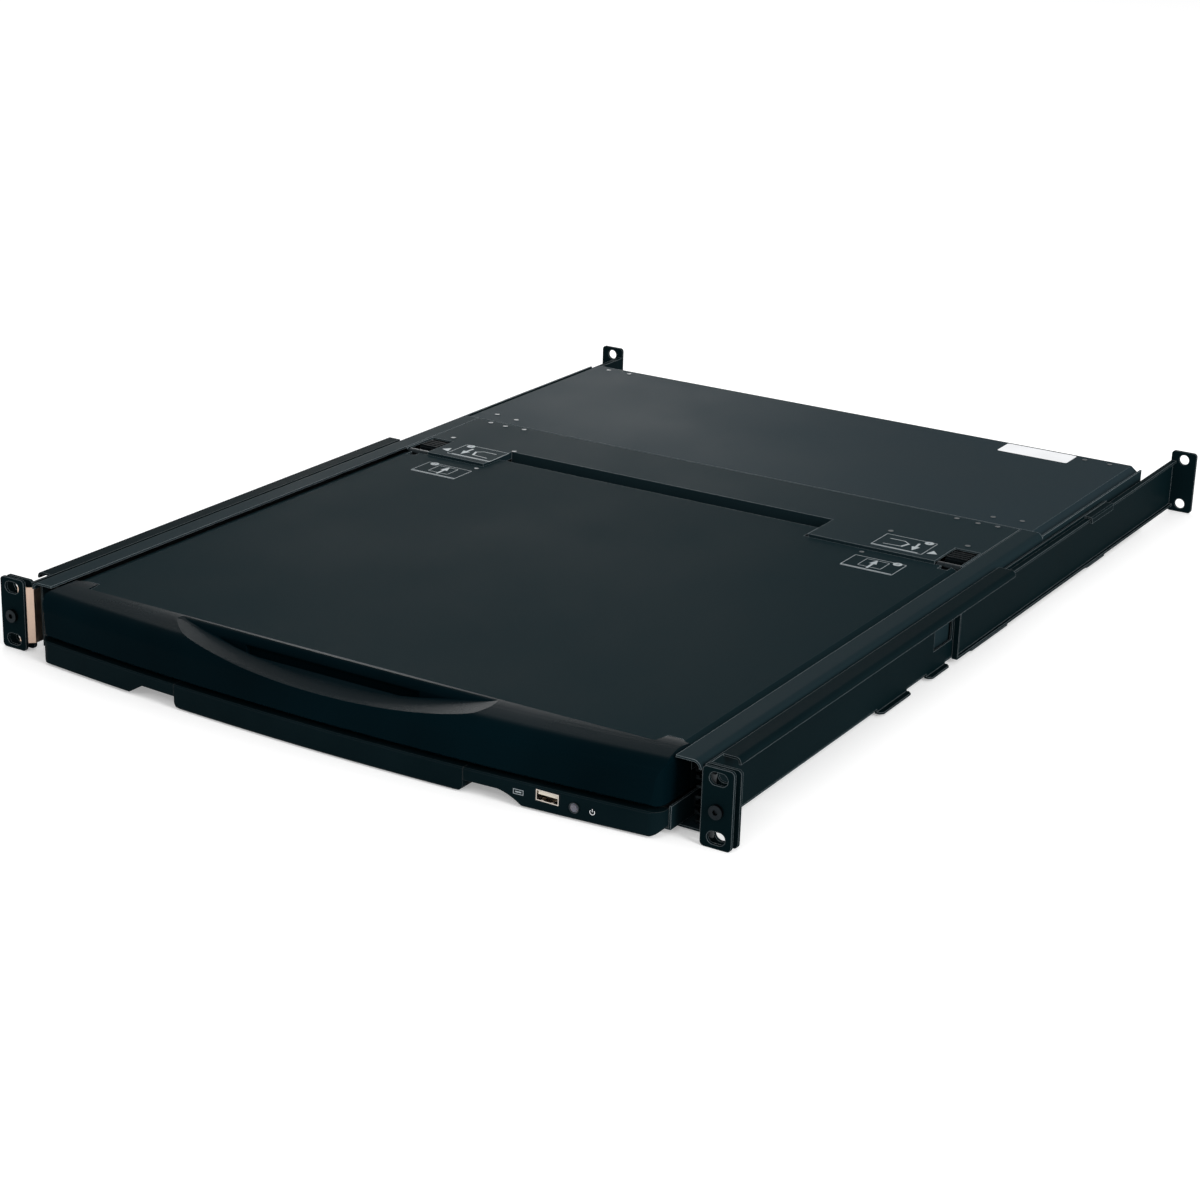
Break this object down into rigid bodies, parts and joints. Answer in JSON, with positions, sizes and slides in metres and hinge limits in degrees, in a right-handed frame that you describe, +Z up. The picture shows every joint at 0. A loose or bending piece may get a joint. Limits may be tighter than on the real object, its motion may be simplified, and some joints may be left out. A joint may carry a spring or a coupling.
{
  "type": "rackmount lcd console drawer",
  "caption": "Rack drawer console: a display slides out and tilts up above a sliding keyboard drawer with touch pad, on telescopic rack rails",
  "frame": {"origin": "centre of the four front rack slots, on the front face of the mounting ears", "axes": "+X to the right seen from the front, +Y into the rack, +Z up"},
  "size_m": [0.4844, 0.6845, 0.0432],
  "materials": {
    "cabinet_steel": "blue-black powder coat, satin",
    "plated_steel": "zinc-plated sheet",
    "slide_steel": "rolled slide steel",
    "bare_metal": "yellow-passivated zinc",
    "screw_steel": "black-oxide steel",
    "gloss_black": "glossy moulding",
    "black_plastic": "fine-grained moulding",
    "key_plastic": "fine-grained keycap",
    "panel_grey": "dark moulding",
    "circuit_board": "green solder mask",
    "display_glass": "anti-glare glass",
    "lamp_lens": "clear lens"
  },
  "bodies": {
    "chassis": {"chassis_tray": "cabinet_steel", "rear_cover": "cabinet_steel", "rear_bulkhead": "plated_steel", "rear_panel": "cabinet_steel", "main_board": "circuit_board", "power_supply": "circuit_board", "power_inlet": "black_plastic", "power_switch_body": "black_plastic", "console_port": "plated_steel", "ear_screws": "screw_steel", "chassis_ear_left": "cabinet_steel", "chassis_ear_right": "cabinet_steel", "ear_bracket_left": "bare_metal", "ear_bracket_right": "bare_metal", "rail_front_left": "cabinet_steel", "rail_front_right": "cabinet_steel", "lcd_slide_outer": "slide_steel", "keyboard_slide_outer": "slide_steel"},
    "rear_rail_left": {"rail_rear_left": "cabinet_steel"},
    "rear_rail_right": {"rail_rear_right": "cabinet_steel"},
    "rocker": {"power_rocker": "black_plastic"},
    "lcd_middle_members": {"lcd_slide_middle": "slide_steel"},
    "lcd_carriage": {"carriage_cover": "cabinet_steel", "carriage_base": "plated_steel", "hinge_bracket_left": "plated_steel", "hinge_bracket_right": "plated_steel", "hinge_pins": "screw_steel", "lcd_slide_inner": "slide_steel"},
    "catch_left": {"release_catch_left": "black_plastic"},
    "catch_right": {"release_catch_right": "black_plastic"},
    "lcd_module": {"lcd_front_cap": "gloss_black", "lcd_back_plate": "cabinet_steel", "lcd_inner_bezel": "gloss_black", "lcd_glass": "display_glass", "lcd_panel": "panel_grey", "osd_board": "circuit_board", "lcd_hinge_arm_left": "plated_steel", "lcd_hinge_arm_right": "plated_steel"},
    "menu_buttons": {"osd_buttons": "black_plastic"},
    "display_power_button": {"lcd_power_button": "black_plastic"},
    "keyboard_middle_members": {"keyboard_slide_middle": "slide_steel"},
    "keyboard_drawer": {"keyboard_tray": "plated_steel", "keyboard_fascia": "gloss_black", "drawer_pull": "gloss_black", "usb_port": "plated_steel", "power_led": "lamp_lens", "keyboard_deck": "black_plastic", "keyboard_base": "panel_grey", "touchpad": "black_plastic", "keyboard_slide_inner": "slide_steel"},
    "pad_button_left": {"touchpad_button_left": "black_plastic"},
    "pad_button_right": {"touchpad_button_right": "black_plastic"},
    "space_key": {"space_bar": "key_plastic"},
    "keys_row_1": {"key_row_1": "key_plastic"},
    "keys_row_2": {"key_row_2": "key_plastic"},
    "keys_row_3": {"key_row_3": "key_plastic"},
    "keys_row_4": {"key_row_4": "key_plastic"},
    "keys_row_5": {"key_row_5": "key_plastic"},
    "keys_row_6": {"key_row_6": "key_plastic"}
  },
  "joints": [
    {"name": "lcd_slide", "type": "slide", "parent": "chassis", "child": "lcd_carriage", "axis": [0, -1, 0], "range_m": [0, 0.38]},
    {"name": "lcd_middle_slide", "type": "slide", "parent": "chassis", "child": "lcd_middle_members", "axis": [0, -1, 0], "range_m": [0, 0.19]},
    {"name": "lcd_tilt", "type": "hinge", "parent": "lcd_carriage", "child": "lcd_module", "pos_m": [0, 0.3521, 0.0178], "axis": [-1, 0, 0], "range_deg": [0, 110]},
    {"name": "release_catch_left", "type": "slide", "parent": "lcd_carriage", "child": "catch_left", "axis": [0, 1, 0], "range_m": [0, 0.003], "stiffness_N_per_m": 600},
    {"name": "release_catch_right", "type": "slide", "parent": "lcd_carriage", "child": "catch_right", "axis": [0, 1, 0], "range_m": [0, 0.003], "stiffness_N_per_m": 600},
    {"name": "menu_buttons", "type": "slide", "parent": "lcd_module", "child": "menu_buttons", "axis": [0, 0, 1], "range_m": [0, 0.0006], "stiffness_N_per_m": 800},
    {"name": "display_power_button", "type": "slide", "parent": "lcd_module", "child": "display_power_button", "axis": [0, 0, 1], "range_m": [0, 0.0006], "stiffness_N_per_m": 800},
    {"name": "keyboard_slide", "type": "slide", "parent": "chassis", "child": "keyboard_drawer", "axis": [0, -1, 0], "range_m": [0, 0.38]},
    {"name": "keyboard_middle_slide", "type": "slide", "parent": "chassis", "child": "keyboard_middle_members", "axis": [0, -1, 0], "range_m": [0, 0.19]},
    {"name": "pad_button_left", "type": "slide", "parent": "keyboard_drawer", "child": "pad_button_left", "axis": [0, 0, -1], "range_m": [0, 0.001], "stiffness_N_per_m": 800},
    {"name": "pad_button_right", "type": "slide", "parent": "keyboard_drawer", "child": "pad_button_right", "axis": [0, 0, -1], "range_m": [0, 0.001], "stiffness_N_per_m": 800},
    {"name": "space_key", "type": "slide", "parent": "keyboard_drawer", "child": "space_key", "axis": [0, 0, -1], "range_m": [0, 0.002], "stiffness_N_per_m": 300},
    {"name": "power_rocker", "type": "hinge", "parent": "chassis", "child": "rocker", "pos_m": [0.132, 0.61, -0.002], "axis": [0, 0, -1], "range_deg": [0, 9]},
    {"name": "rear_rail_left", "type": "slide", "parent": "chassis", "child": "rear_rail_left", "axis": [0, 1, 0], "range_m": [0, 0.14]},
    {"name": "rear_rail_right", "type": "slide", "parent": "chassis", "child": "rear_rail_right", "axis": [0, 1, 0], "range_m": [0, 0.14]},
    {"name": "keys_row_1", "type": "slide", "parent": "keyboard_drawer", "child": "keys_row_1", "axis": [0, 0, -1], "range_m": [0, 0.002], "stiffness_N_per_m": 1500},
    {"name": "keys_row_2", "type": "slide", "parent": "keyboard_drawer", "child": "keys_row_2", "axis": [0, 0, -1], "range_m": [0, 0.002], "stiffness_N_per_m": 1500},
    {"name": "keys_row_3", "type": "slide", "parent": "keyboard_drawer", "child": "keys_row_3", "axis": [0, 0, -1], "range_m": [0, 0.002], "stiffness_N_per_m": 1500},
    {"name": "keys_row_4", "type": "slide", "parent": "keyboard_drawer", "child": "keys_row_4", "axis": [0, 0, -1], "range_m": [0, 0.002], "stiffness_N_per_m": 1500},
    {"name": "keys_row_5", "type": "slide", "parent": "keyboard_drawer", "child": "keys_row_5", "axis": [0, 0, -1], "range_m": [0, 0.002], "stiffness_N_per_m": 1500},
    {"name": "keys_row_6", "type": "slide", "parent": "keyboard_drawer", "child": "keys_row_6", "axis": [0, 0, -1], "range_m": [0, 0.002], "stiffness_N_per_m": 1500}
  ],
  "couplings": [
    {"joint": "lcd_middle_slide", "follows": "lcd_slide", "ratio": 0.5},
    {"joint": "keyboard_middle_slide", "follows": "keyboard_slide", "ratio": 0.5}
  ]
}
